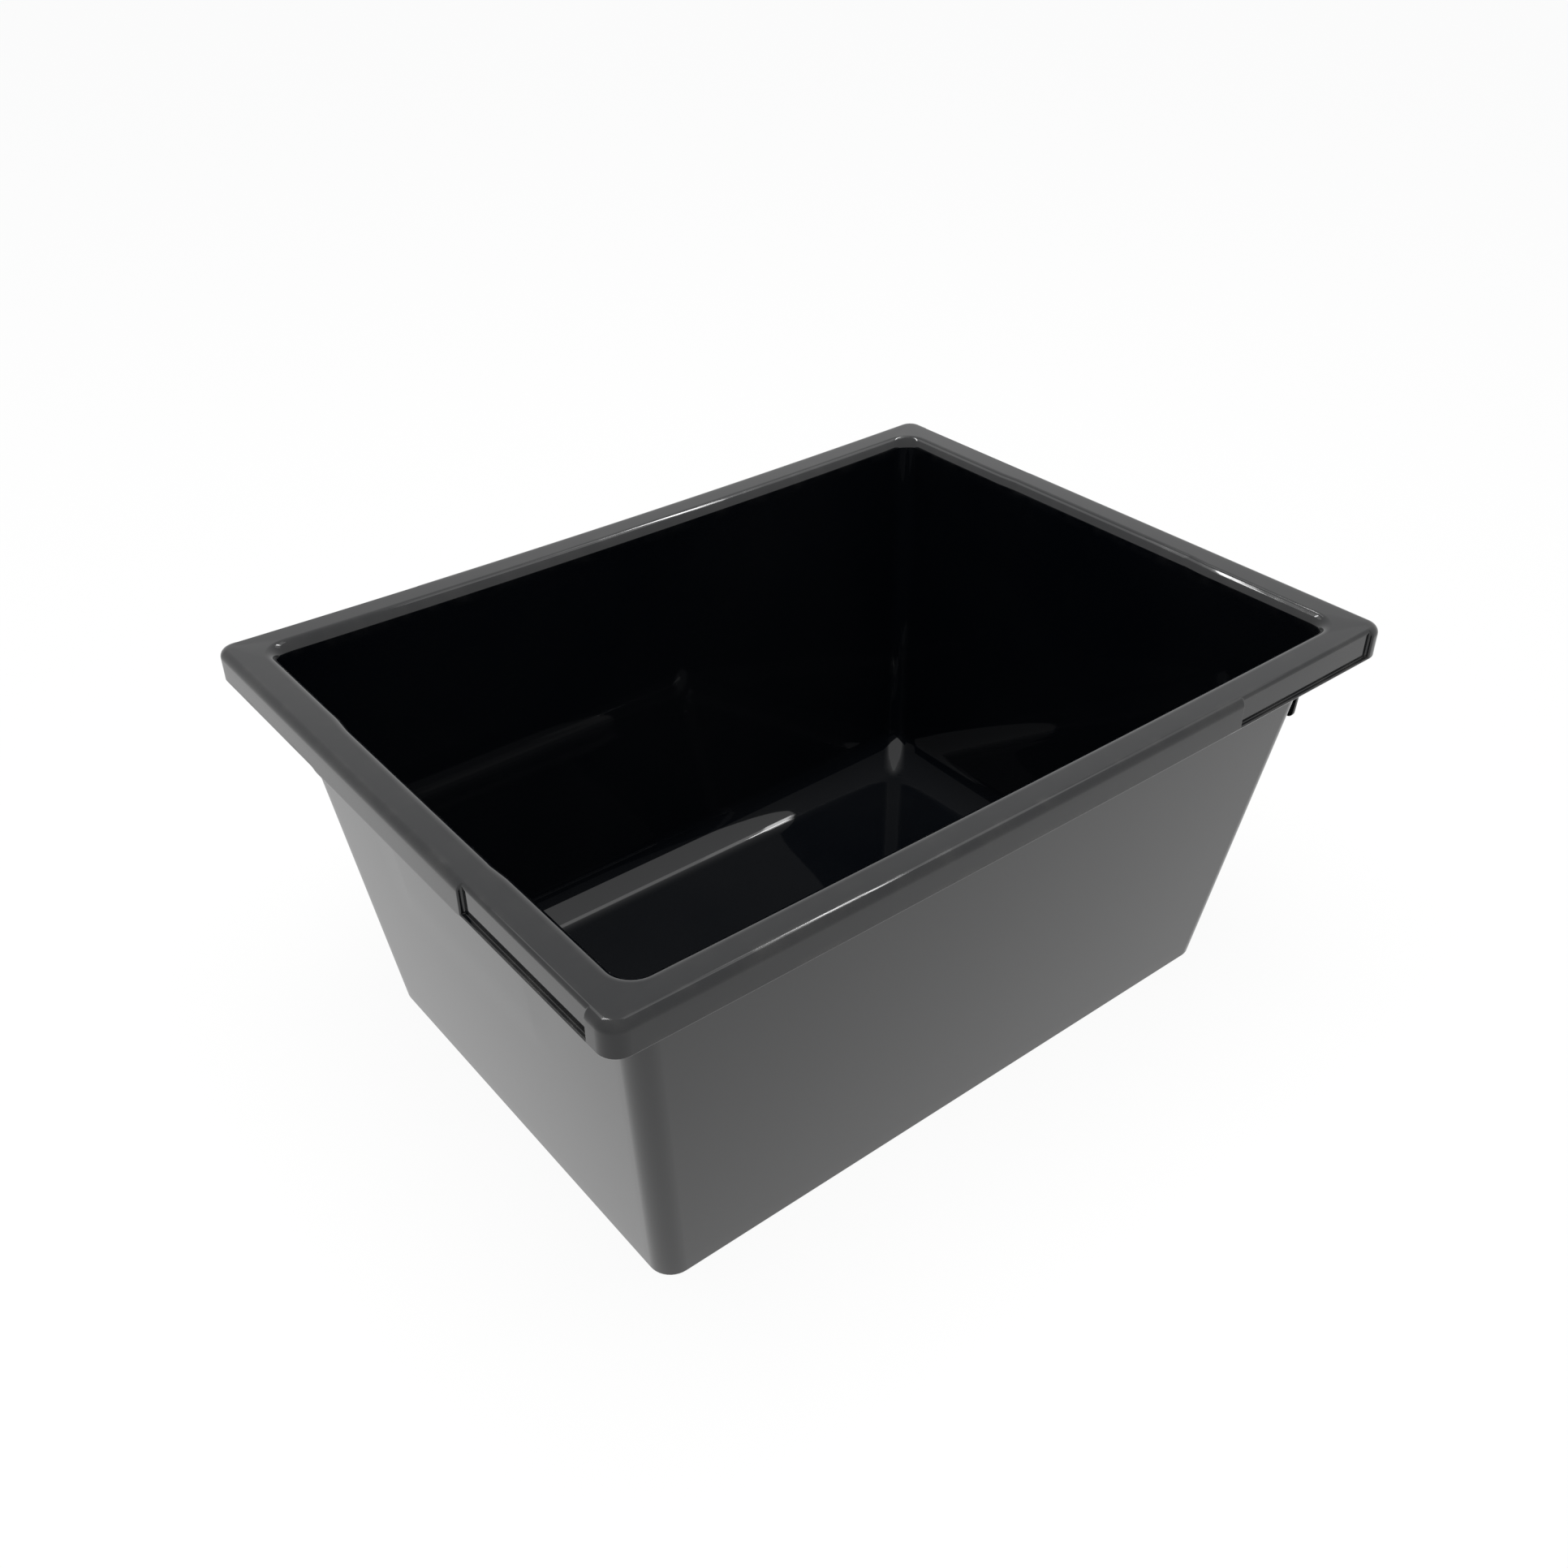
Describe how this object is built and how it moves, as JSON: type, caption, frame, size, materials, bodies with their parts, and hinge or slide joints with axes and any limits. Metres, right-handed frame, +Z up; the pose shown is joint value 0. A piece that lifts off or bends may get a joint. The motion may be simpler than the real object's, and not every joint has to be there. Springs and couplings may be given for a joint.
{
  "type": "mortar mixing tub",
  "caption": "Rectangular black plastic tub with tapered walls, a flat rim and a hanging skirt to grip, for mixing and carrying mortar.",
  "frame": {"origin": "middle of the underside of the floor, where the tub stands", "axes": "+X along the tub, +Y across it, +Z up out of its mouth"},
  "size_m": [0.6, 0.454, 0.282],
  "materials": {
    "black_plastic": "glossy black moulded polyolefin with a faint orange peel and light scuffs"
  },
  "bodies": {
    "root": {"floor_pan": "black_plastic", "nesting_stop": "black_plastic", "front_wall": "black_plastic", "rear_wall": "black_plastic", "left_wall": "black_plastic", "right_wall": "black_plastic", "front_rim": "black_plastic", "rear_rim": "black_plastic", "left_rim": "black_plastic", "right_rim": "black_plastic", "front_skirt": "black_plastic", "rear_skirt": "black_plastic", "left_skirt": "black_plastic", "right_skirt": "black_plastic", "front_recess_panel": "black_plastic", "rear_recess_panel": "black_plastic", "left_recess_panel": "black_plastic", "right_recess_panel": "black_plastic"}
  },
  "joints": []
}
